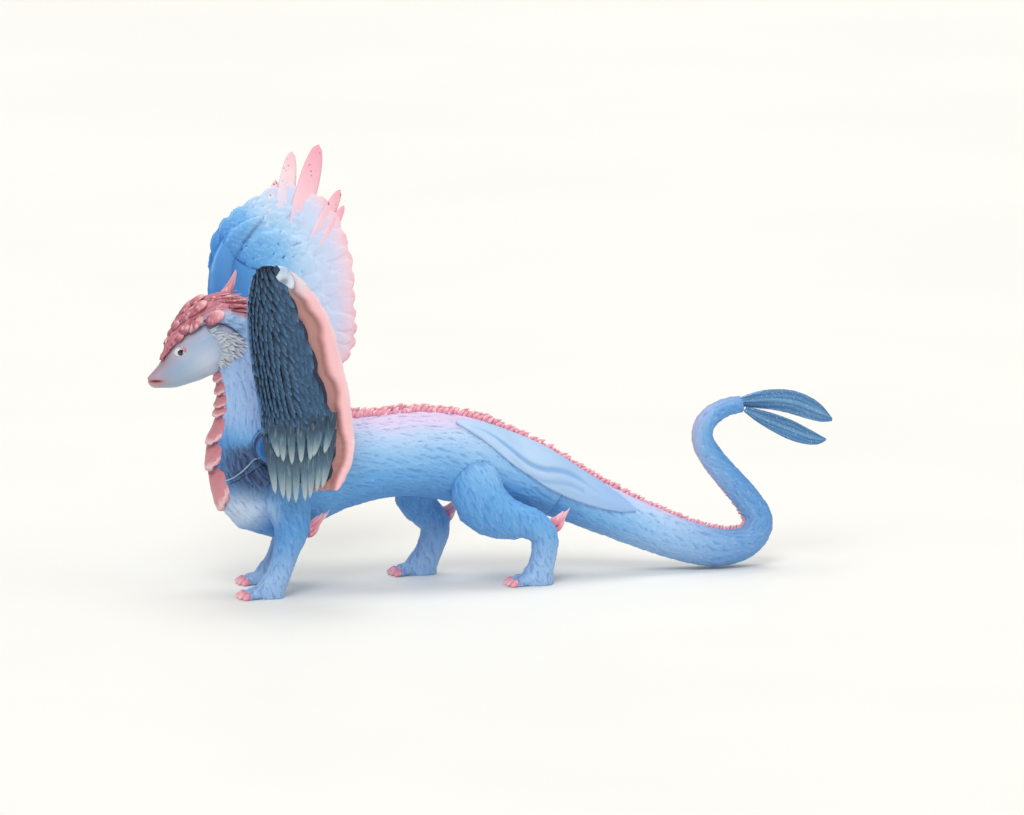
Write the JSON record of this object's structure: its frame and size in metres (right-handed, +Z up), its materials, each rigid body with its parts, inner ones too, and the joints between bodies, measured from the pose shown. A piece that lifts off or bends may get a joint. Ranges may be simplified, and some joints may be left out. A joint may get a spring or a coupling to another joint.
{
  "type": "alebrije figure",
  "caption": "Four-legged winged fantasy creature with a long curled tail ending in a forked fin; each wing turns on a peg at the shoulder.",
  "frame": {"origin": "on the surface it stands on, at the centre of the figure's box", "axes": "+X from the head to the tail, +Y to the creature's right, +Z up"},
  "size_m": [0.2307, 0.0873, 0.1353],
  "materials": {
    "skin": "airbrushed light blue over fine sculpted fur, satin",
    "face": "smooth blue-grey airbrush, satin",
    "crest": "dusty pink with pale dry-brushed edges",
    "ruff": "silvery white with fine glitter",
    "scute": "dusty pink plates with pale rims",
    "spine": "pink hair-like spines",
    "panel": "smooth pale blue, satin",
    "spur": "pink tufts",
    "claw": "polished pink",
    "fin": "metallic blue lacquer with glitter",
    "wing_arm": "smooth deep blue, satin",
    "covert": "dark steel blue with pale edges",
    "scale": "mid blue scales",
    "lining": "pale pink, satin",
    "fan": "light blue to lilac and pink feathers",
    "primary": "long feathers with pale tips and glitter",
    "collar": "deep blue ring",
    "eye": "black bead, glossy",
    "pin": "bright drawn pin"
  },
  "bodies": {
    "figure": {"torso": "skin", "neck": "skin", "head": "face", "tail": "skin", "neck_pin": "pin", "head_pin": "pin", "tail_pin": "pin", "left_eye": "eye", "right_eye": "eye", "head_crest": "crest", "crest_spike": "crest", "left_cheek_ruff": "ruff", "right_cheek_ruff": "ruff", "throat_scutes": "scute", "nape_ridge": "spine", "back_ridge": "spine", "tail_ridge": "spine", "left_hip_panel": "panel", "right_hip_panel": "panel", "front_left_leg": "skin", "front_right_leg": "skin", "rear_left_leg": "skin", "rear_right_leg": "skin", "front_left_claws": "claw", "front_right_claws": "claw", "rear_left_claws": "claw", "rear_right_claws": "claw", "left_elbow_spur": "spur", "right_elbow_spur": "spur", "left_hock_spur": "spur", "right_hock_spur": "spur", "tail_fin_upper": "fin", "tail_fin_lower": "fin", "left_collar": "collar", "right_collar": "collar"},
    "left_wing": {"left_wing_arm": "wing_arm", "left_wing_coverts": "covert", "left_wing_lining": "lining", "left_wing_primaries": "primary"},
    "right_wing": {"right_wing_arm": "wing_arm", "right_wing_scales": "scale", "right_wing_fan": "fan", "right_wing_coverts": "covert", "right_wing_primaries": "primary"}
  },
  "joints": [
    {"name": "left_wing_swivel", "type": "hinge", "parent": "figure", "child": "left_wing", "pos_m": [-0.0792, -0.018, 0.0484], "axis": [0, 1, 0], "range_deg": [-15, 20]},
    {"name": "right_wing_swivel", "type": "hinge", "parent": "figure", "child": "right_wing", "pos_m": [-0.0792, 0.012, 0.0484], "axis": [0, 1, 0], "range_deg": [-15, 20]}
  ]
}
